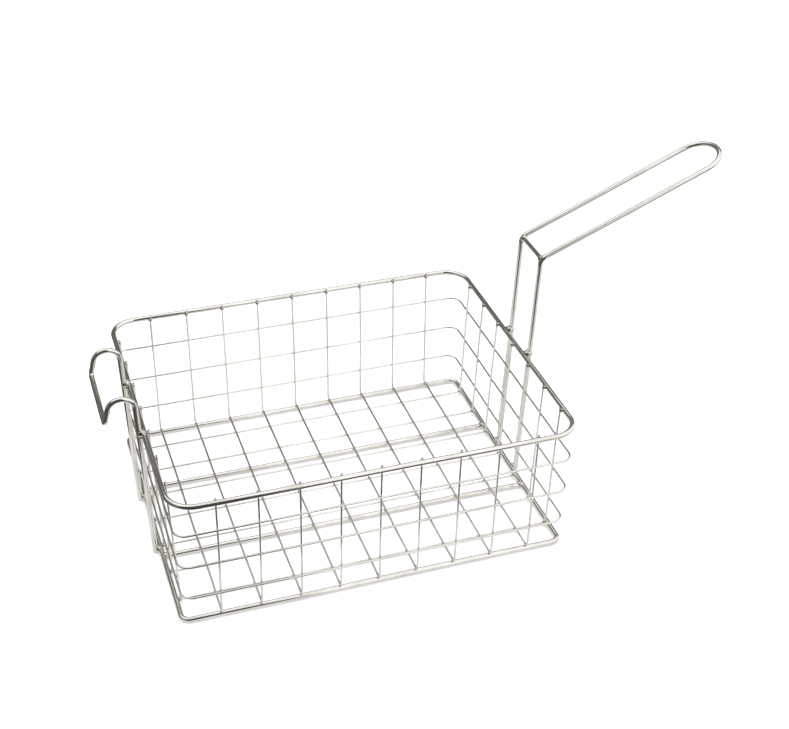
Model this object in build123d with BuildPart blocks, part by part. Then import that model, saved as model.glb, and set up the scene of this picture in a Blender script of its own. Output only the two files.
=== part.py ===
from build123d import *
import os
from math import acos, atan2, ceil, cos, degrees, hypot, radians, sin, tan

# Deep fryer basket of bent and welded round wire.
# A tray of thin cross wires and long wires hangs in a thick top rim and rests on a
# thick base ring. A long looped handle rises at +X and a hanging hook stands at -X.
# The origin is the centre of the base, on the surface that the basket stands on.
# Every reach and height is measured to the middle of its wire.

# Wire diameters, and the gap left between two wires that are welded together
thick_wire = 3.5
thin_wire = 1.4
handle_bar_wire = 3.0
weld_gap = 0.05

# Flat sides of a round section, and how far the short straight runs of a bend may lie
# inside its arc. Both are as coarse as so many wires need and too fine to be seen.
thick_wire_sides = 16
thin_wire_sides = 12
bead_sides = 8
bend_sag = 0.08

# Base ring and the two bars inside it, each so far in from its nearer long side
ring_half_length = 124.0
ring_half_width = 96.5
ring_corner = 5.5
base_bar_margin = 61.0

# Top rim, and how far it stands out past the base ring
end_flare = 3.0
side_flare = 7.0
rim_corner = 16.0
rim_rise = 92.0

# Tray wires, evenly spaced between margins at the sides of the base ring
cross_wire_count = 9
cross_wire_margin = 24.0
cross_wire_overhang = 2.25
long_wire_count = 7
long_wire_margin = 18.05
tray_bend = 3.0
wire_end_rise = 1.75

# Hoops around the tray, from the lowest up
hoop_names = ("hoop_lower", "hoop_middle", "hoop_upper")
first_hoop_rise = 20.5
hoop_spacing = 24.75
hoop_corner = 7.5

# Handle
handle_half_width = 15.5
elbow_rise = 164.3
elbow_bend = 6.0
grip_length = 121.0
grip_end_bend = 15.3
grip_angle = 23.2
leg_foot_drop = 0.5

# Hanging hook
hook_half_width = 27.5
hook_arch_rise = 28.25
hook_reach = 19.45
outer_leg_angle = 14.0
rail_rise = 12.25
rail_bend = 3.0
arch_fullness = 0.98

# Weld beads as length and width, and how far a bead on the rim is lifted
rim_bead = (6.6, 5.0)
rim_bead_lift = 0.6
ring_bead = (5.0, 4.3)
bar_bead = (5.0, 4.5)
elbow_bead = (3.6, 4.8)
ring_nugget = (3.2, 3.0)
bead_end_share = 0.5

# Wires as diameter and sides
thick = (thick_wire, thick_wire_sides)
thin = (thin_wire, thin_wire_sides)

# Heights and seats that follow from the sizes above
ring_height = thick_wire / 2
rim_height = ring_height + rim_rise
rim_half_length = ring_half_length + end_flare
rim_half_width = ring_half_width + side_flare
thick_seat = thick_wire + weld_gap
side_seat = (thick_wire + thin_wire) / 2 + weld_gap
thin_seat = thin_wire + weld_gap
cross_floor = ring_height + side_seat
long_floor = cross_floor - thin_seat

# Low and high points of the straight walls and legs, as reach and height
cross_low = (ring_half_width + cross_wire_overhang, cross_floor)
cross_high = (rim_half_width - side_seat, rim_height)
long_low = (ring_half_length - side_seat, long_floor)
long_high = (rim_half_length - side_seat, rim_height)
leg_low = (ring_half_length + thick_seat, ring_height)
leg_high = (rim_half_length + thick_seat, rim_height)


# Reach of a straight leaning wall or leg at a height
def reach_at(height, low, high):
    share = (height - low[1]) / (high[1] - low[1])
    return low[0] + share * (high[0] - low[0])


# Point on the arc that rounds a corner, at a share of its turn
def on_bend(before, corner, after, radius, share):
    incoming = (corner - before).normalized()
    outgoing = (after - corner).normalized()
    turn = radians(incoming.get_angle(outgoing))
    to_centre = (outgoing - incoming * incoming.dot(outgoing)).normalized()
    start = corner - incoming * radius * tan(turn / 2)
    return start + incoming * radius * sin(share * turn) + to_centre * radius * (1 - cos(share * turn))


# Number of short straight runs that make one bend
def runs_of(before, corner, after, radius):
    turn = radians((corner - before).get_angle(after - corner))
    return ceil(turn / (2 * acos(1 - bend_sag / radius)))


# Route through a list of corners, each rounded by its own radius
def rounded_route(corners, radii):
    corners = [Vector(corner) for corner in corners]
    route = [corners[0]]
    for before, corner, after, radius in zip(corners, corners[1:], corners[2:], radii):
        runs = runs_of(before, corner, after, radius)
        route += [on_bend(before, corner, after, radius, step / runs) for step in range(runs + 1)]
    return route + [corners[-1]]


# Section of a wire or a bead, with a flat side towards each wire that it meets
def round_section(diameter, sides):
    RegularPolygon(diameter / 2, sides, major_radius=False, rotation=180 / sides)


# Wire along the whole of a route; the side direction lies across its first run
def lay_wire(points, side_direction, wire):
    with BuildLine() as route:
        Polyline(*points)
    with BuildSketch(Plane(origin=points[0], x_dir=side_direction, z_dir=points[1] - points[0])) as start:
        round_section(*wire)
    sweep(start.sketch, path=route.wire(), transition=Transition.RIGHT)


# Weld bead along the normal of its place, full in the middle and smaller at its ends
def weld_bead(place, size):
    length, width = size
    narrowing = atan2(width * (1 - bead_end_share), length)
    with BuildSketch(place) as middle:
        round_section(width, bead_sides)
    extrude(middle.sketch, amount=length / 2, taper=degrees(narrowing), both=True)


# Room in a bead for the wire that it wraps, which runs along the normal of its place
def wire_room(place, diameter, length):
    with BuildSketch(place) as room:
        round_section(diameter + weld_gap, thick_wire_sides)
    extrude(room.sketch, amount=length / 2, both=True, mode=Mode.SUBTRACT)


# Closed ring with rounded corners, from the middle of its front side
def closed_ring(half_length, half_width, corner, height, wire):
    corners = [
        (0, -half_width, height),
        (half_length, -half_width, height),
        (half_length, half_width, height),
        (-half_length, half_width, height),
        (-half_length, -half_width, height),
        (0, -half_width, height),
    ]
    with BuildPart() as ring:
        lay_wire(rounded_route(corners, [corner] * 4), (0, 0, 1), wire)
    return ring.part


# Hoop around the outside of the upright tray wires
def hoop(rise):
    height = ring_height + rise
    half_length = reach_at(height, long_low, long_high) + thin_seat
    half_width = reach_at(height, cross_low, cross_high) + thin_seat
    return closed_ring(half_length, half_width, hoop_corner, height, thin)


# Bar between the short sides of the base ring, with a bead at each end
def base_bar(offset):
    half_length = ring_half_length - thick_wire / 2 - weld_gap
    bead_height = ring_height + (bar_bead[1] - thick_wire) / 2
    with BuildPart() as bar:
        with BuildSketch(Plane(origin=(0, offset, ring_height), z_dir=(1, 0, 0))):
            round_section(*thick)
        extrude(amount=half_length, both=True)
        for side in (-1, 1):
            bead_centre = (side * half_length, offset, bead_height)
            weld_bead(Plane(origin=bead_centre, z_dir=(1, 0, 0)), bar_bead)
            ring_centre = (side * ring_half_length, offset, ring_height)
            wire_room(Plane(origin=ring_centre, z_dir=(0, 1, 0)), thick_wire, 2 * bar_bead[1])
    return bar.part


# Ends and corners of a tray wire, as reach and height: a U from rim to rim
def tray_corners(low, high):
    end_height = rim_height + wire_end_rise
    end_reach = reach_at(end_height, low, high)
    return [(-end_reach, end_height), (-low[0], low[1]), low, (end_reach, end_height)]


# Wire across the tray, over the long sides of the base ring
def cross_wire(position):
    corners = [(position, reach, height) for reach, height in tray_corners(cross_low, cross_high)]
    with BuildPart() as wire:
        lay_wire(rounded_route(corners, [tray_bend] * 2), (1, 0, 0), thin)
    return wire.part


# Place of one of several evenly spaced wires, the outer two at plus and minus the reach
def spread(number, count, reach):
    return (2 * number / (count - 1) - 1) * reach


# Small bead between the bend of a long wire and the base ring, at the +X or -X side
def ring_weld(side, position):
    bend_centre = (long_low[0] - tray_bend, long_floor + tray_bend)
    across = ring_half_length - bend_centre[0]
    down = bend_centre[1] - ring_height
    span = hypot(across, down)
    bead_share = (tray_bend + thin_wire / 2 + span - thick_wire / 2) / 2 / span
    bead_reach = bend_centre[0] + across * bead_share
    bead_centre = (side * bead_reach, position, bend_centre[1] - down * bead_share)
    weld_bead(Plane(origin=bead_centre, x_dir=(0, 1, 0), z_dir=(side * across, 0, -down)), ring_nugget)
    ring_centre = (side * ring_half_length, position, ring_height)
    wire_room(Plane(origin=ring_centre, z_dir=(0, 1, 0)), thick_wire, 2 * ring_nugget[1])


# Wire along the tray, under the cross wires and inside the short sides of the base ring
def long_wire(position):
    corners = [(reach, position, height) for reach, height in tray_corners(long_low, long_high)]
    with BuildPart() as wire:
        lay_wire(rounded_route(corners, [tray_bend] * 2), (0, 1, 0), thin)
        for side in (-1, 1):
            ring_weld(side, position)
    return wire.part


# Beads that hold one leg outside the rim and the base ring, at the +X or -X side
def leg_welds(side, offset):
    foot_lift = (ring_bead[1] - thick_wire) / 2
    rim_place = (rim_half_length, rim_height, rim_bead, rim_bead_lift)
    ring_place = (ring_half_length, ring_height, ring_bead, foot_lift)
    for reach, height, size, lift in (rim_place, ring_place):
        bead_centre = (side * (reach + thick_seat / 2), offset, height + lift)
        weld_bead(Plane(origin=bead_centre, z_dir=(1, 0, 0)), size)
        wire_centre = (side * reach, offset, height)
        wire_room(Plane(origin=wire_centre, z_dir=(0, 1, 0)), thick_wire, 2 * size[1])


leg_foot = ring_height - leg_foot_drop
leg_foot_reach = reach_at(leg_foot, leg_low, leg_high)

# Top rim and base ring
top_rim = closed_ring(rim_half_length, rim_half_width, rim_corner, rim_height, thick)
base_ring = closed_ring(ring_half_length, ring_half_width, ring_corner, ring_height, thick)

# Handle: one wire from foot to foot, over the elbows and round the end of the grip
elbow_height = ring_height + elbow_rise
elbow_reach = reach_at(elbow_height, leg_low, leg_high)
grip_reach = (grip_length + handle_half_width) * cos(radians(grip_angle))
grip_rise = (grip_length + handle_half_width) * sin(radians(grip_angle))
handle_profile = [
    (leg_foot_reach, leg_foot),
    (elbow_reach, elbow_height),
    (elbow_reach + grip_reach, elbow_height + grip_rise),
]
handle_corners = [(x, -handle_half_width, z) for x, z in handle_profile]
handle_corners += [(x, handle_half_width, z) for x, z in reversed(handle_profile)]
handle_bends = [elbow_bend, grip_end_bend, grip_end_bend, elbow_bend]
elbow_middle = on_bend(*[Vector(x, 0, z) for x, z in handle_profile], elbow_bend, 1 / 2)
bar_place = Plane(origin=elbow_middle, z_dir=(0, 1, 0))
inner_half_width = handle_half_width - thick_wire / 2

with BuildPart() as handle_frame:
    lay_wire(rounded_route(handle_corners, handle_bends), (0, 1, 0), thick)
    for side in (-1, 1):
        leg_welds(1, side * handle_half_width)
        bead_centre = elbow_middle + Vector(0, side * inner_half_width, 0)
        weld_bead(Plane(origin=bead_centre, z_dir=(0, 1, 0)), elbow_bead)
    wire_room(bar_place, handle_bar_wire, 2 * inner_half_width - weld_gap)

# Bar between the two elbows of the handle
with BuildPart() as handle_cross_bar:
    with BuildSketch(bar_place):
        round_section(handle_bar_wire, thick_wire_sides)
    extrude(amount=inner_half_width - weld_gap, both=True)

# Hanging hook: one wire up both inner legs, over two arches and along the rail
arch_height = rim_height + hook_arch_rise
rail_height = rim_height + rail_rise
rail_reach = leg_high[0] + hook_reach
arch_inner_reach = reach_at(arch_height, leg_low, leg_high)
arch_outer_reach = rail_reach - (arch_height - rail_height) * tan(radians(outer_leg_angle))
leg_lean = degrees(atan2(leg_high[0] - leg_low[0], rim_rise))
arch_tangents = tan(radians(90 - leg_lean) / 2) + tan(radians(90 - outer_leg_angle) / 2)
arch_bend = arch_fullness * (arch_outer_reach - arch_inner_reach) / arch_tangents
hook_profile = [
    (-leg_foot_reach, leg_foot),
    (-arch_inner_reach, arch_height),
    (-arch_outer_reach, arch_height),
    (-rail_reach, rail_height),
]
hook_corners = [(x, -hook_half_width, z) for x, z in hook_profile]
hook_corners += [(x, hook_half_width, z) for x, z in reversed(hook_profile)]
hook_bends = [arch_bend, arch_bend, rail_bend, rail_bend, arch_bend, arch_bend]

with BuildPart() as hook_frame:
    lay_wire(rounded_route(hook_corners, hook_bends), (0, 1, 0), thick)
    for side in (-1, 1):
        leg_welds(-1, side * hook_half_width)

# Every piece by its name
base_bar_offset = ring_half_width - base_bar_margin
pieces = {
    "top_rim": top_rim,
    "base_ring": base_ring,
    "base_bar_front": base_bar(-base_bar_offset),
    "base_bar_rear": base_bar(base_bar_offset),
    "handle_frame": handle_frame.part,
    "handle_cross_bar": handle_cross_bar.part,
    "hook_frame": hook_frame.part,
}
for level, name in enumerate(hoop_names):
    pieces[name] = hoop(first_hoop_rise + level * hoop_spacing)
for number in range(cross_wire_count):
    position = spread(number, cross_wire_count, ring_half_length - cross_wire_margin)
    pieces[f"cross_wire_{number + 1}"] = cross_wire(position)
for number in range(long_wire_count):
    position = spread(number, long_wire_count, ring_half_width - long_wire_margin)
    pieces[f"long_wire_{number + 1}"] = long_wire(position)

os.makedirs("parts", exist_ok=True)
for name, piece in pieces.items():
    piece.label = name
    export_step(piece, f"parts/{name}.step")
    print(name, round(piece.volume, 1))
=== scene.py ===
import math
import bpy
from mathutils import Matrix, Vector


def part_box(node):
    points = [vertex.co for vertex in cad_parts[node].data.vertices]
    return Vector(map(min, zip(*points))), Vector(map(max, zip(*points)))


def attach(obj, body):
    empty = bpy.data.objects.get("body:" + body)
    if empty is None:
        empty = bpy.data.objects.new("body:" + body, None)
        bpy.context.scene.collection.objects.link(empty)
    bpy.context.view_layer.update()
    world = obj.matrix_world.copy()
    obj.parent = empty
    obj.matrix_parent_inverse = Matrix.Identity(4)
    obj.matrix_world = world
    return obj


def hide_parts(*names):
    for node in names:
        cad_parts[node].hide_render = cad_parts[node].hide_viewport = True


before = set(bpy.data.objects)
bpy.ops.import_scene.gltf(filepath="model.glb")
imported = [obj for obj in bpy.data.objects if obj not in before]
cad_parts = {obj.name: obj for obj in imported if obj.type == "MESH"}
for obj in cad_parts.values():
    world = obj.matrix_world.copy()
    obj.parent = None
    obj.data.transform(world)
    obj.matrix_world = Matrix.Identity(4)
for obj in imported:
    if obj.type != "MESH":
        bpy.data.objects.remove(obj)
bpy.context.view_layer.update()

mm = 0.001
thickWire = 3.5 * mm
thinWire = 1.4 * mm


# Camera: its place and directions were solved from the crossings of the wires in the photograph
cameraView = {"place": (-0.21107, -0.71581, 0.60311), "lens": 63.87, "sensor": 36.0,
              "right": (0.94704, -0.32053, 0.01945), "up": (0.16336, 0.53302, 0.83018),
              "back": (-0.27646, -0.78304, 0.55715), "nearest": 0.01, "farthest": 50}


def makeCamera(view):
    lensData = bpy.data.cameras.new("photoCamera")
    lensData.lens = view["lens"]
    lensData.sensor_width = view["sensor"]
    lensData.sensor_fit = "HORIZONTAL"
    lensData.clip_start = view["nearest"]
    lensData.clip_end = view["farthest"]
    camera = bpy.data.objects.new("photoCamera", lensData)
    bpy.context.collection.objects.link(camera)
    turn = Matrix((view["right"], view["up"], view["back"])).transposed().to_4x4()
    camera.matrix_world = Matrix.Translation(view["place"]) @ turn
    bpy.context.scene.camera = camera


makeCamera(cameraView)
print("camera placed")


# Helpers for node trees: a socket given as a value is linked, anything else is set
def addNode(tree, kind, values=None, **settings):
    node = tree.nodes.new(kind)
    for name, value in settings.items():
        setattr(node, name, value)
    for key, value in (values or {}).items():
        if isinstance(value, bpy.types.NodeSocket):
            tree.links.new(value, node.inputs[key])
        else:
            node.inputs[key].default_value = value
    return node


# Colour sockets are picked by type, because the Mix node has several inputs called A and B
def mixColours(tree, share, under, over):
    node = addNode(tree, "ShaderNodeMix", data_type="RGBA")
    tree.links.new(share, node.inputs["Factor"])
    colourInputs = [socket for socket in node.inputs if socket.type == "RGBA"]
    for socket, colour in zip(colourInputs, (under, over)):
        if isinstance(colour, bpy.types.NodeSocket):
            tree.links.new(colour, socket)
        else:
            socket.default_value = colour
    return next(socket for socket in node.outputs if socket.type == "RGBA")


def newTree(name, inputs=()):
    tree = bpy.data.node_groups.new(name, "GeometryNodeTree")
    tree.interface.new_socket("Geometry", in_out="OUTPUT", socket_type="NodeSocketGeometry")
    tree.interface.new_socket("Geometry", in_out="INPUT", socket_type="NodeSocketGeometry")
    for label, kind, value in inputs:
        socket = tree.interface.new_socket(label, in_out="INPUT", socket_type=kind)
        if value is not None:
            socket.default_value = value
    return tree, tree.nodes.new("NodeGroupInput"), tree.nodes.new("NodeGroupOutput")


def socketNames(tree):
    return {item.name: item.identifier for item in tree.interface.items_tree
            if item.item_type == "SOCKET" and item.in_out == "INPUT"}


# Drift: the small wander of hand-set wires. All wires share one field of place, so that
# wires which cross stay together. The noise stays within 0.31 of its middle, hence the gain.
drift = {"distance": 0.35 * mm, "noiseGain": 4, "wave": 90 * mm, "seed": 4.0}


def makeDriftGroup(values):
    group, start, end = newTree("handSetDrift")
    place = addNode(group, "GeometryNodeInputPosition")
    noise = addNode(group, "ShaderNodeTexNoise", {"Vector": place.outputs[0], "W": values["seed"],
                    "Scale": 1 / values["wave"], "Detail": 1.0}, noise_dimensions="4D")
    centred = addNode(group, "ShaderNodeVectorMath", {0: noise.outputs["Color"], 1: (0.5, 0.5, 0.5)},
                      operation="SUBTRACT")
    reach = values["distance"] * values["noiseGain"]
    level = addNode(group, "ShaderNodeVectorMath", {0: centred.outputs[0], 1: (reach, reach, 0)},
                    operation="MULTIPLY")
    moved = addNode(group, "GeometryNodeSetPosition", {"Geometry": start.outputs[0],
                    "Offset": level.outputs[0]})
    group.links.new(moved.outputs[0], end.inputs[0])
    return group


driftGroup = makeDriftGroup(drift)


# Bent wire: rounds a polyline by each point's own bend, repeats it at a pitch and gives it a
# round section. Edges sharper than the crease, at a cut end, stay sharp.
wire = {"sides": 24, "bendSteps": 10, "step": 6 * mm, "crease": math.radians(50)}


def makeWireTree(values):
    tree, start, end = newTree("bentWire", [
        ("Wire Radius", "NodeSocketFloat", thinWire / 2), ("Sides", "NodeSocketInt", values["sides"]),
        ("Bend Steps", "NodeSocketInt", values["bendSteps"]), ("Step", "NodeSocketFloat", values["step"]),
        ("Count", "NodeSocketInt", 1), ("Pitch", "NodeSocketVector", (0, 0, 0)),
        ("Material", "NodeSocketMaterial", None)])
    into = start.outputs
    curve = addNode(tree, "GeometryNodeMeshToCurve", {"Mesh": into["Geometry"]})
    bend = addNode(tree, "GeometryNodeInputNamedAttribute", {"Name": "bend"}, data_type="FLOAT")
    rounded = addNode(tree, "GeometryNodeFilletCurve", {"Curve": curve.outputs[0],
                      "Radius": bend.outputs[0], "Count": into["Bend Steps"]}, mode="POLY")

    # long runs are cut into short ones, so that the drift can bend them
    place = addNode(tree, "GeometryNodeInputPosition")
    nextPoint = addNode(tree, "GeometryNodeOffsetPointInCurve", {"Offset": 1})
    nextPlace = addNode(tree, "GeometryNodeFieldAtIndex", {"Index": nextPoint.outputs["Point Index"],
                        "Value": place.outputs[0]}, data_type="FLOAT_VECTOR", domain="POINT")
    run = addNode(tree, "ShaderNodeVectorMath", {0: nextPlace.outputs[0], 1: place.outputs[0]},
                  operation="DISTANCE")
    cuts = addNode(tree, "ShaderNodeMath", {0: run.outputs["Value"], 1: into["Step"]}, operation="DIVIDE")
    divided = addNode(tree, "GeometryNodeSubdivideCurve", {"Curve": rounded.outputs[0],
                      "Cuts": cuts.outputs[0]})

    # a row of copies, centred on the origin
    row = addNode(tree, "GeometryNodeMeshLine", {"Count": into["Count"], "Offset": into["Pitch"]})
    halfBack = addNode(tree, "ShaderNodeVectorMath", {0: into["Pitch"], "Scale": -0.5}, operation="SCALE")
    gaps = addNode(tree, "ShaderNodeMath", {0: into["Count"], 1: 1}, operation="SUBTRACT")
    rowStart = addNode(tree, "ShaderNodeVectorMath", {0: halfBack.outputs[0], "Scale": gaps.outputs[0]},
                       operation="SCALE")
    tree.links.new(rowStart.outputs[0], row.inputs["Start Location"])
    many = addNode(tree, "GeometryNodeInstanceOnPoints", {"Points": row.outputs[0],
                   "Instance": divided.outputs[0]})
    real = addNode(tree, "GeometryNodeRealizeInstances", {"Geometry": many.outputs[0]})
    moved = addNode(tree, "GeometryNodeGroup", node_tree=driftGroup)
    tree.links.new(real.outputs[0], moved.inputs[0])

    # the finish follows the wire by two attributes: how far along it, and where around it
    length = addNode(tree, "GeometryNodeSplineParameter")
    along = addNode(tree, "GeometryNodeStoreNamedAttribute", {"Geometry": moved.outputs[0],
                    "Name": "along", "Value": length.outputs["Length"]},
                    data_type="FLOAT", domain="POINT")
    section = addNode(tree, "GeometryNodeCurvePrimitiveCircle", {"Resolution": into["Sides"],
                      "Radius": into["Wire Radius"]})
    sectionPlace = addNode(tree, "GeometryNodeInputPosition")
    around = addNode(tree, "GeometryNodeStoreNamedAttribute", {"Geometry": section.outputs[0],
                     "Name": "around", "Value": sectionPlace.outputs[0]},
                     data_type="FLOAT_VECTOR", domain="POINT")
    tube = addNode(tree, "GeometryNodeCurveToMesh", {"Curve": along.outputs[0],
                   "Profile Curve": around.outputs[0], "Fill Caps": True})
    angle = addNode(tree, "GeometryNodeInputMeshEdgeAngle")
    sharp = addNode(tree, "FunctionNodeCompare", {"A": angle.outputs[0], "B": values["crease"]},
                    data_type="FLOAT", operation="GREATER_THAN")
    smooth = addNode(tree, "GeometryNodeSetShadeSmooth", {"Geometry": tube.outputs[0]}, domain="FACE")
    creased = addNode(tree, "GeometryNodeSetShadeSmooth", {"Geometry": smooth.outputs[0],
                      "Selection": sharp.outputs[0], "Shade Smooth": False}, domain="EDGE")
    plain = addNode(tree, "GeometryNodeRealizeInstances", {"Geometry": creased.outputs[0]})
    coated = addNode(tree, "GeometryNodeSetMaterial", {"Geometry": plain.outputs[0],
                     "Material": into["Material"]})
    tree.links.new(coated.outputs[0], end.inputs[0])
    return tree


wireTree = makeWireTree(wire)


# Weld spots: a lumpy bead on each point, by the point's own size and the way that it faces
def makeWeldTree():
    tree, start, end = newTree("weldSpots", [
        ("Detail", "NodeSocketInt", 2), ("Lump", "NodeSocketFloat", 0.1 * mm),
        ("Lump Size", "NodeSocketFloat", 2 * mm), ("Material", "NodeSocketMaterial", None)])
    into = start.outputs
    ball = addNode(tree, "GeometryNodeMeshIcoSphere", {"Radius": 1.0, "Subdivisions": into["Detail"]})
    size = addNode(tree, "GeometryNodeInputNamedAttribute", {"Name": "size"}, data_type="FLOAT_VECTOR")
    facing = addNode(tree, "GeometryNodeInputNamedAttribute", {"Name": "facing"},
                     data_type="FLOAT_VECTOR")
    aim = addNode(tree, "FunctionNodeAlignRotationToVector", {"Vector": facing.outputs[0]}, axis="Z")
    many = addNode(tree, "GeometryNodeInstanceOnPoints", {"Points": into["Geometry"],
                   "Instance": ball.outputs[0], "Rotation": aim.outputs[0], "Scale": size.outputs[0]})
    real = addNode(tree, "GeometryNodeRealizeInstances", {"Geometry": many.outputs[0]})
    place = addNode(tree, "GeometryNodeInputPosition")
    fine = addNode(tree, "ShaderNodeMath", {0: 1.0, 1: into["Lump Size"]}, operation="DIVIDE")
    noise = addNode(tree, "ShaderNodeTexNoise", {"Vector": place.outputs[0], "Scale": fine.outputs[0],
                    "Detail": 1.0}, noise_dimensions="3D")
    centred = addNode(tree, "ShaderNodeMath", {0: noise.outputs[0], 1: 0.5}, operation="SUBTRACT")
    rise = addNode(tree, "ShaderNodeMath", {0: centred.outputs[0], 1: into["Lump"]}, operation="MULTIPLY")
    normal = addNode(tree, "GeometryNodeInputNormal")
    offset = addNode(tree, "ShaderNodeVectorMath", {0: normal.outputs[0], "Scale": rise.outputs[0]},
                     operation="SCALE")
    lumpy = addNode(tree, "GeometryNodeSetPosition", {"Geometry": real.outputs[0],
                    "Offset": offset.outputs[0]})
    moved = addNode(tree, "GeometryNodeGroup", node_tree=driftGroup)
    tree.links.new(lumpy.outputs[0], moved.inputs[0])
    smooth = addNode(tree, "GeometryNodeSetShadeSmooth", {"Geometry": moved.outputs[0]}, domain="FACE")
    plain = addNode(tree, "GeometryNodeRealizeInstances", {"Geometry": smooth.outputs[0]})
    coated = addNode(tree, "GeometryNodeSetMaterial", {"Geometry": plain.outputs[0],
                     "Material": into["Material"]})
    tree.links.new(coated.outputs[0], end.inputs[0])
    return tree


weldTree = makeWeldTree()
print("node trees made")


# Finishes: bright plating with fine drawn lines and larger dull patches, and darker weld metal.
# The patches set the colour, and lines and patches together set the roughness.
platedFinish = {"bright": (0.83, 0.82, 0.79, 1), "dull": (0.66, 0.64, 0.60, 1),
                "shiny": 0.06, "worn": 0.15, "drawnLines": 0.12 * mm, "lineLength": 14 * mm,
                "patch": 22 * mm, "relief": 0.006 * mm}
weldFinish = {"bright": (0.72, 0.71, 0.68, 1), "dull": (0.36, 0.34, 0.30, 1),
              "shiny": 0.08, "worn": 0.26, "drawnLines": 0.5 * mm, "lineLength": 0.5 * mm,
              "patch": 1.4 * mm, "relief": 0.02 * mm}
grain = {"lineDetail": 3.0, "patchDetail": 5.0, "patchRoughness": 0.6, "patchFrom": 0.35,
         "patchTo": 0.75, "fullyWorn": 0.6}


def makeFinish(name, values, followsWire):
    material = bpy.data.materials.new(name)
    material.use_nodes = True
    tree = material.node_tree
    shader = tree.nodes["Principled BSDF"]
    shader.inputs["Metallic"].default_value = 1.0
    objectPlace = addNode(tree, "ShaderNodeTexCoord").outputs["Object"]
    place = objectPlace
    if followsWire:
        around = addNode(tree, "ShaderNodeAttribute", attribute_name="around")
        along = addNode(tree, "ShaderNodeAttribute", attribute_name="along")
        split = addNode(tree, "ShaderNodeSeparateXYZ", {"Vector": around.outputs["Vector"]})
        place = addNode(tree, "ShaderNodeCombineXYZ", {"X": split.outputs["X"], "Y": split.outputs["Y"],
                        "Z": along.outputs["Fac"]}).outputs[0]
    across, length = 1 / values["drawnLines"], 1 / values["lineLength"]
    stretched = addNode(tree, "ShaderNodeVectorMath", {0: place, 1: (across, across, length)},
                        operation="MULTIPLY")
    lines = addNode(tree, "ShaderNodeTexNoise", {"Vector": stretched.outputs[0], "Scale": 1.0,
                    "Detail": grain["lineDetail"]})
    patches = addNode(tree, "ShaderNodeTexNoise", {"Vector": objectPlace, "Scale": 1 / values["patch"],
                      "Detail": grain["patchDetail"], "Roughness": grain["patchRoughness"]})
    patchShare = addNode(tree, "ShaderNodeMapRange", {"Value": patches.outputs[0],
                         "From Min": grain["patchFrom"], "From Max": grain["patchTo"]})
    tint = mixColours(tree, patchShare.outputs[0], values["bright"], values["dull"])
    tree.links.new(tint, shader.inputs["Base Color"])
    wear = addNode(tree, "ShaderNodeMath", {0: patchShare.outputs[0], 1: lines.outputs[0]},
                   operation="MULTIPLY")
    rough = addNode(tree, "ShaderNodeMapRange", {"Value": wear.outputs[0], "To Min": values["shiny"],
                    "To Max": values["worn"], "From Max": grain["fullyWorn"]})
    tree.links.new(rough.outputs[0], shader.inputs["Roughness"])
    bump = addNode(tree, "ShaderNodeBump", {"Height": lines.outputs[0], "Distance": values["relief"],
                   "Strength": 1.0})
    tree.links.new(bump.outputs[0], shader.inputs["Normal"])
    return material


plated = makeFinish("platedWire", platedFinish, True)
welded = makeFinish("weldMetal", weldFinish, False)
print("finishes made")


# Makes a plain mesh piece out of a path or points and a node tree
def evaluate(name, mesh, tree, values):
    holder = bpy.data.objects.new(name + "Path", mesh)
    bpy.context.collection.objects.link(holder)
    modifier = holder.modifiers.new("shape", "NODES")
    modifier.node_group = tree
    names = socketNames(tree)
    for label, value in values.items():
        modifier[names[label]] = value
    depsgraph = bpy.context.evaluated_depsgraph_get()
    depsgraph.update()
    result = bpy.data.meshes.new_from_object(holder.evaluated_get(depsgraph))
    result.name = name
    holder.modifiers.remove(modifier)
    bpy.data.objects.remove(holder)
    bpy.data.meshes.remove(mesh)
    piece = bpy.data.objects.new(name, result)
    bpy.context.collection.objects.link(piece)
    return piece


def keep(piece, nodes=()):
    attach(piece, "root")
    if nodes:
        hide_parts(*nodes)
    piece.data.calc_loop_triangles()
    print(piece.name, "triangles", len(piece.data.loop_triangles))


def bentWire(name, corners, bends, closed, diameter, nodes, sides=wire["sides"],
             bendSteps=wire["bendSteps"], count=1, pitch=(0, 0, 0)):
    mesh = bpy.data.meshes.new(name + "Path")
    edges = [(i, i + 1) for i in range(len(corners) - 1)]
    if closed:
        edges.append((len(corners) - 1, 0))
    mesh.from_pydata(corners, edges, [])
    mesh.attributes.new("bend", "FLOAT", "POINT").data.foreach_set("value", bends)
    piece = evaluate(name, mesh, wireTree, {"Wire Radius": diameter / 2, "Sides": sides,
                     "Bend Steps": bendSteps, "Step": wire["step"], "Count": count, "Pitch": pitch,
                     "Material": plated})
    keep(piece, nodes)


def weldSpots(name, spots, detail, lump, lumpSize):
    mesh = bpy.data.meshes.new(name + "Points")
    mesh.from_pydata([place for place, facing, size in spots], [], [])
    for label, column in (("facing", 1), ("size", 2)):
        values = [number for spot in spots for number in spot[column]]
        mesh.attributes.new(label, "FLOAT_VECTOR", "POINT").data.foreach_set("vector", values)
    piece = evaluate(name, mesh, weldTree, {"Detail": detail, "Lump": lump, "Lump Size": lumpSize,
                     "Material": welded})
    keep(piece)


def boxOf(node):
    low, high = (Vector(corner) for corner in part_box(node))
    return (low + high) / 2, (high - low) / 2


# Reach of a straight leaning wall or leg at a height
def reachAt(height, low, high):
    return low[0] + (height - low[1]) / (high[1] - low[1]) * (high[0] - low[0])


def roundedRectangle(halfLength, halfWidth, height):
    return [(-halfLength, -halfWidth, height), (halfLength, -halfWidth, height),
            (halfLength, halfWidth, height), (-halfLength, halfWidth, height)]


# A profile seen from the side, given to both sides of the basket and joined across it
def bothSides(profile, halfWidth):
    return ([(x, -halfWidth, z) for x, z in profile]
            + [(x, halfWidth, z) for x, z in reversed(profile)])


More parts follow.
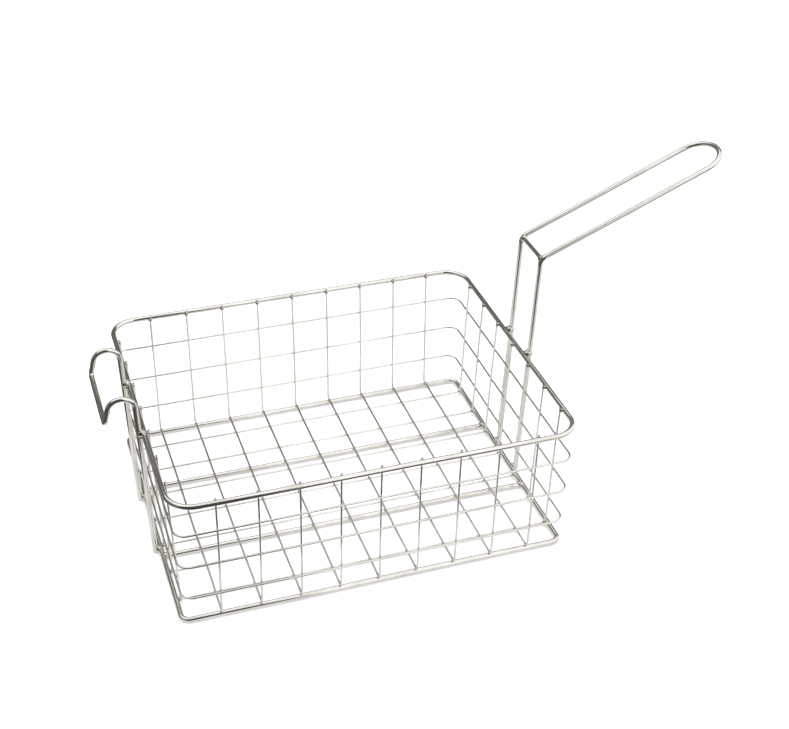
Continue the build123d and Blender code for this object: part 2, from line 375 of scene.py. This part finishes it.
# Rim, base ring and the two bars in the base
ring = {"rimBend": 16 * mm, "baseBend": 5.5 * mm}
rimMiddle, rimHalf = boxOf("top_rim")
baseMiddle, baseHalf = boxOf("base_ring")
rimX, rimY, rimZ = rimHalf.x - thickWire / 2, rimHalf.y - thickWire / 2, rimMiddle.z
baseX, baseY, baseZ = baseHalf.x - thickWire / 2, baseHalf.y - thickWire / 2, baseMiddle.z
bentWire("topRim", roundedRectangle(rimX, rimY, rimZ), [ring["rimBend"]] * 4, True, thickWire,
         ["top_rim"])
bentWire("baseRing", roundedRectangle(baseX, baseY, baseZ), [ring["baseBend"]] * 4, True, thickWire,
         ["base_ring"])
barPlaces = []
for name, node in (("baseBarFront", "base_bar_front"), ("baseBarRear", "base_bar_rear")):
    barY = boxOf(node)[0].y
    barPlaces.append(barY)
    bentWire(name, [(-baseX, barY, baseZ), (baseX, barY, baseZ)], [0, 0], False, thickWire,
             [node])
print("rings made")


# Tray: cross wires over long wires, each bent to a U, and the hoops around them
tray = {"bend": 3.0 * mm, "overhang": 2.25 * mm, "seat": 0.05 * mm, "endRise": 1.75 * mm,
        "hoopBend": 7.5 * mm, "hoops": ("hoop_lower", "hoop_middle", "hoop_upper"),
        "crossWires": 9, "longWires": 7, "sides": 16}
sideSeat = (thickWire + thinWire) / 2 + tray["seat"]
crossFloor = baseZ + sideSeat
longFloor = crossFloor - thinWire - tray["seat"]
crossLow, crossHigh = (baseY + tray["overhang"], crossFloor), (rimY - sideSeat, rimZ)
longLow, longHigh = (baseX - sideSeat, longFloor), (rimX - sideSeat, rimZ)


def uShape(low, high):
    top = rimZ + tray["endRise"]
    reach = reachAt(top, low, high)
    return [(-reach, top), (-low[0], low[1]), (low[0], low[1]), (reach, top)]


crossNames = [f"cross_wire_{i + 1}" for i in range(tray["crossWires"])]
longNames = [f"long_wire_{i + 1}" for i in range(tray["longWires"])]
crossPlaces = [boxOf(name)[0].x for name in crossNames]
longPlaces = [boxOf(name)[0].y for name in longNames]
trayBends = [0, tray["bend"], tray["bend"], 0]
bentWire("crossWires", [(0, reach, z) for reach, z in uShape(crossLow, crossHigh)], trayBends, False,
         thinWire, crossNames, sides=tray["sides"], count=len(crossNames),
         pitch=(crossPlaces[1] - crossPlaces[0], 0, 0))
bentWire("longWires", [(reach, 0, z) for reach, z in uShape(longLow, longHigh)], trayBends, False,
         thinWire, longNames, sides=tray["sides"], count=len(longNames),
         pitch=(0, longPlaces[1] - longPlaces[0], 0))
hoopPlaces = []
for node in tray["hoops"]:
    middle, half = boxOf(node)
    hoopX, hoopY = half.x - thinWire / 2, half.y - thinWire / 2
    hoopPlaces.append((hoopX, hoopY, middle.z))
    name = "hoop" + node.split("_")[1].capitalize()
    bentWire(name, roundedRectangle(hoopX, hoopY, middle.z), [tray["hoopBend"]] * 4, True, thinWire,
             [node], sides=tray["sides"])
print("tray wires made")


# Handle: one wire from foot to foot, and the bar between its elbows
handle = {"halfWidth": 15.5 * mm, "elbowRise": 164.3 * mm, "elbowBend": 6 * mm,
          "gripLength": 121 * mm, "gripEndBend": 15.3 * mm, "gripAngle": math.radians(23.2),
          "footDrop": 0.5 * mm, "bar": 3.0 * mm, "bendSteps": 16}
thickSeat = thickWire + tray["seat"]
legLow, legHigh = (baseX + thickSeat, baseZ), (rimX + thickSeat, rimZ)
footZ = baseZ - handle["footDrop"]
footX = reachAt(footZ, legLow, legHigh)
elbowZ = baseZ + handle["elbowRise"]
elbowX = reachAt(elbowZ, legLow, legHigh)
gripLength = handle["gripLength"] + handle["halfWidth"]
gripX, gripZ = gripLength * math.cos(handle["gripAngle"]), gripLength * math.sin(handle["gripAngle"])
handleProfile = [(footX, footZ), (elbowX, elbowZ), (elbowX + gripX, elbowZ + gripZ)]
handleBends = [0, handle["elbowBend"], handle["gripEndBend"]]
bentWire("handleFrame", bothSides(handleProfile, handle["halfWidth"]), handleBends + handleBends[::-1],
         False, thickWire, ["handle_frame"], bendSteps=handle["bendSteps"])
barMiddle = boxOf("handle_cross_bar")[0]
barEnds = [(barMiddle.x, side * handle["halfWidth"], barMiddle.z) for side in (-1, 1)]
bentWire("handleCrossBar", barEnds, [0, 0], False, handle["bar"], ["handle_cross_bar"])
print("handle made")


# Hook: one wire up both legs, over the two arches and along the rail
hook = {"halfWidth": 27.5 * mm, "archRise": 28.25 * mm, "reach": 19.45 * mm,
        "outerLean": math.radians(14), "railRise": 12.25 * mm, "railBend": 3 * mm,
        "archFullness": 0.98, "bendSteps": 14}
archZ = rimZ + hook["archRise"]
railZ = rimZ + hook["railRise"]
railX = legHigh[0] + hook["reach"]
archInner = reachAt(archZ, legLow, legHigh)
archOuter = railX - (archZ - railZ) * math.tan(hook["outerLean"])
legLean = math.atan2(legHigh[0] - legLow[0], rimZ - baseZ)
archTangents = sum(math.tan((math.pi / 2 - lean) / 2) for lean in (legLean, hook["outerLean"]))
archBend = hook["archFullness"] * (archOuter - archInner) / archTangents
hookProfile = [(-footX, footZ), (-archInner, archZ), (-archOuter, archZ), (-railX, railZ)]
hookBends = [0, archBend, archBend, hook["railBend"]]
bentWire("hookFrame", bothSides(hookProfile, hook["halfWidth"]), hookBends + hookBends[::-1], False,
         thickWire, ["hook_frame"], bendSteps=hook["bendSteps"])
print("hook made")


# Welds: half sizes, places and lumps of the beads on the frame and the small spots on the tray
weld = {"rimBead": (3.1 * mm, 3.0 * mm, 2.6 * mm), "beadLift": 1.7 * mm, "beadOut": 0.5 * mm,
        "underBead": (2.4 * mm, 2.1 * mm, 1.5 * mm), "underDrop": 1.1 * mm,
        "footBead": (2.9 * mm, 2.2 * mm, 2.2 * mm), "barBead": (2.6 * mm, 2.3 * mm, 2.3 * mm),
        "footLift": 0.4 * mm, "elbowBead": (2.4 * mm, 1.9 * mm, 2.4 * mm),
        "beadDetail": 4, "beadLump": 0.45 * mm, "beadLumpSize": 2.4 * mm,
        "crossing": (0.95 * mm, 0.95 * mm, 0.75 * mm), "ringSpot": (1.0 * mm, 1.1 * mm, 0.9 * mm),
        "rimNugget": (1.3 * mm, 1.3 * mm, 1.9 * mm), "rimNuggetDrop": 0.5 * mm,
        "ringNugget": (1.6 * mm, 1.5 * mm, 1.5 * mm), "ringNuggetIn": 1.96 * mm,
        "ringNuggetRise": 1.45 * mm, "spotDetail": 2, "spotLump": 0.25 * mm, "spotLumpSize": 1.2 * mm}
up, sideways, ahead = (0, 0, 1), (1, 0, 0), (0, 1, 0)


def frameBeads():
    beads = []
    lowBeadZ = baseZ + weld["footLift"]
    middle = rimX + thickSeat / 2
    for side, halfWidth in ((1, handle["halfWidth"]), (-1, hook["halfWidth"])):
        for y in (-halfWidth, halfWidth):
            beads.append(((side * (middle + weld["beadOut"]), y, rimZ + weld["beadLift"]), up,
                          weld["rimBead"]))
            beads.append(((side * middle, y, rimZ - weld["underDrop"]), up, weld["underBead"]))
            beads.append(((side * (baseX + thickSeat / 2), y, lowBeadZ), up, weld["footBead"]))
    for side in (-1, 1):
        inner = side * (handle["halfWidth"] - thickWire / 2)
        beads.append(((barMiddle.x, inner, barMiddle.z), up, weld["elbowBead"]))
    for y in barPlaces:
        for side in (-1, 1):
            beads.append(((side * (baseX - thickWire / 2), y, lowBeadZ), up, weld["barBead"]))
    return beads


def traySpots():
    spots = []
    nuggetZ = rimZ - weld["rimNuggetDrop"]
    crossReach = reachAt(rimZ, crossLow, crossHigh) + thinWire / 4
    longReach = reachAt(rimZ, longLow, longHigh) + thinWire / 4
    for x in crossPlaces:
        for y in longPlaces:
            spots.append(((x, y, (crossFloor + longFloor) / 2), up, weld["crossing"]))
        for y in (-baseY, baseY, *barPlaces):
            spots.append(((x, y, baseZ + thickWire / 2), up, weld["ringSpot"]))
        for hoopX, hoopY, z in hoopPlaces:
            for side in (-1, 1):
                spots.append(((x, side * (hoopY - thinWire / 2), z), ahead, weld["crossing"]))
        for side in (-1, 1):
            spots.append(((x, side * crossReach, nuggetZ), up, weld["rimNugget"]))
    for y in longPlaces:
        for hoopX, hoopY, z in hoopPlaces:
            for side in (-1, 1):
                spots.append(((side * (hoopX - thinWire / 2), y, z), sideways, weld["crossing"]))
        for side in (-1, 1):
            spots.append(((side * longReach, y, nuggetZ), up, weld["rimNugget"]))
            spots.append(((side * (baseX - weld["ringNuggetIn"]), y, baseZ + weld["ringNuggetRise"]),
                          up, weld["ringNugget"]))
    return spots


weldSpots("weldBeads", frameBeads(), weld["beadDetail"], weld["beadLump"],
          weld["beadLumpSize"])
weldSpots("trayWelds", traySpots(), weld["spotDetail"], weld["spotLump"],
          weld["spotLumpSize"])
print("welds made")


# Studio: the camera sees a floor and backdrop a little brighter than white. The wire reflects a
# bright room with a grey wall at the back and a grey left side, a light sheet under the basket
# and a dark panel at the front left. A pair of limits says where a region starts and is full.
studio = {"floorSize": 12.0, "floor": (0.92, 0.92, 0.915, 1), "matt": 0.9,
          "backdrop": (1.09, 1.09, 1.085, 1), "bright": (1.22, 1.21, 1.19, 1),
          "wall": (0.165, 0.160, 0.148, 1), "wallFrom": (0.35, 0.55), "wallTop": math.radians(41),
          "wallSoft": 0.03, "left": (0.22, 0.215, 0.20, 1), "leftFrom": (-0.45, -0.75),
          "leftTop": (0.75, 0.6), "under": (0.13, 0.126, 0.115, 1), "underFrom": (0.0, -0.03),
          "sheet": (0.86, 0.855, 0.84, 1), "sheetRise": 0.02 * mm,
          "sheetEdge": [(-0.20, 1.4), (-0.20, -0.135), (0.0, -0.14), (0.1, -0.15), (0.18, -0.3),
                        (1.6, -0.45), (1.6, 1.4)],
          "panel": (0.070, 0.067, 0.060, 1), "panelFrom": (-1.9, -1.6), "panelTo": (0.16, 2.1),
          "panelPlace": -1.1}
softbox = {"place": (0.0, 0.2, 1.6), "aim": (0, 0, 0), "size": (2.4, 2.4), "power": 30}


def flatSheet(name, corners, colour, shines=False):
    mesh = bpy.data.meshes.new(name)
    mesh.from_pydata(corners, [], [tuple(range(len(corners)))])
    sheet = bpy.data.objects.new(name, mesh)
    bpy.context.collection.objects.link(sheet)
    material = bpy.data.materials.new(name)
    material.use_nodes = True
    shader = material.node_tree.nodes["Principled BSDF"]
    shader.inputs["Base Color"].default_value = (0, 0, 0, 1) if shines else colour
    shader.inputs["Roughness"].default_value = studio["matt"]
    if shines:
        shader.inputs["Specular IOR Level"].default_value = 0
        shader.inputs["Emission Color"].default_value = colour
        shader.inputs["Emission Strength"].default_value = 1
    mesh.materials.append(material)
    return sheet


def makeFloor():
    half = studio["floorSize"] / 2
    floor = flatSheet("floor", [(-half, -half, 0), (half, -half, 0), (half, half, 0), (-half, half, 0)],
                      studio["floor"])
    floor.visible_glossy = False
    sheet = flatSheet("whiteSheet", [(x, y, studio["sheetRise"]) for x, y in studio["sheetEdge"]],
                      studio["sheet"], shines=True)
    (left, bottom), (right, top), y = studio["panelFrom"], studio["panelTo"], studio["panelPlace"]
    panel = flatSheet("darkPanel", [(left, y, bottom), (left, y, top), (right, y, top),
                      (right, y, bottom)], studio["panel"], shines=True)
    for reflectedOnly in (sheet, panel):
        reflectedOnly.visible_camera = False
        reflectedOnly.visible_diffuse = False
        reflectedOnly.visible_shadow = False


def makeSoftbox(values):
    light = bpy.data.lights.new("overheadSoftbox", "AREA")
    light.shape = "RECTANGLE"
    light.size, light.size_y = values["size"]
    light.energy = values["power"]
    lamp = bpy.data.objects.new("overheadSoftbox", light)
    bpy.context.collection.objects.link(lamp)
    lamp.location = values["place"]
    towards = Vector(values["aim"]) - Vector(values["place"])
    lamp.rotation_euler = towards.to_track_quat("-Z", "Y").to_euler()
    lamp.visible_glossy = False


def makeWorld():
    world = bpy.data.worlds.new("studioRoom")
    bpy.context.scene.world = world
    world.use_nodes = True
    tree = world.node_tree

    def region(value, start, full):
        return addNode(tree, "ShaderNodeMapRange", {"Value": value, "From Min": start, "From Max": full},
                       interpolation_type="SMOOTHSTEP").outputs[0]

    def both(one, other):
        return addNode(tree, "ShaderNodeMath", {0: one, 1: other}, operation="MULTIPLY").outputs[0]

    direction = addNode(tree, "ShaderNodeTexCoord").outputs["Generated"]
    x, y, z = addNode(tree, "ShaderNodeSeparateXYZ", {0: direction}).outputs
    wallTop, soft = math.sin(studio["wallTop"]), studio["wallSoft"]
    wall = both(region(y, *studio["wallFrom"]), region(z, wallTop + soft, wallTop - soft))
    left = both(region(x, *studio["leftFrom"]), region(z, *studio["leftTop"]))
    colour = mixColours(tree, left, studio["bright"], studio["left"])
    colour = mixColours(tree, wall, colour, studio["wall"])
    colour = mixColours(tree, region(z, *studio["underFrom"]), colour, studio["under"])
    # only what the wire reflects is the room, and every other ray sees the plain backdrop
    reflected = addNode(tree, "ShaderNodeLightPath").outputs["Is Glossy Ray"]
    colour = mixColours(tree, reflected, studio["backdrop"], colour)
    tree.links.new(colour, tree.nodes["Background"].inputs["Color"])


makeFloor()
makeWorld()
bpy.context.scene.view_settings.view_transform = "Standard"  # white stays white
makeSoftbox(softbox)
print("studio made")
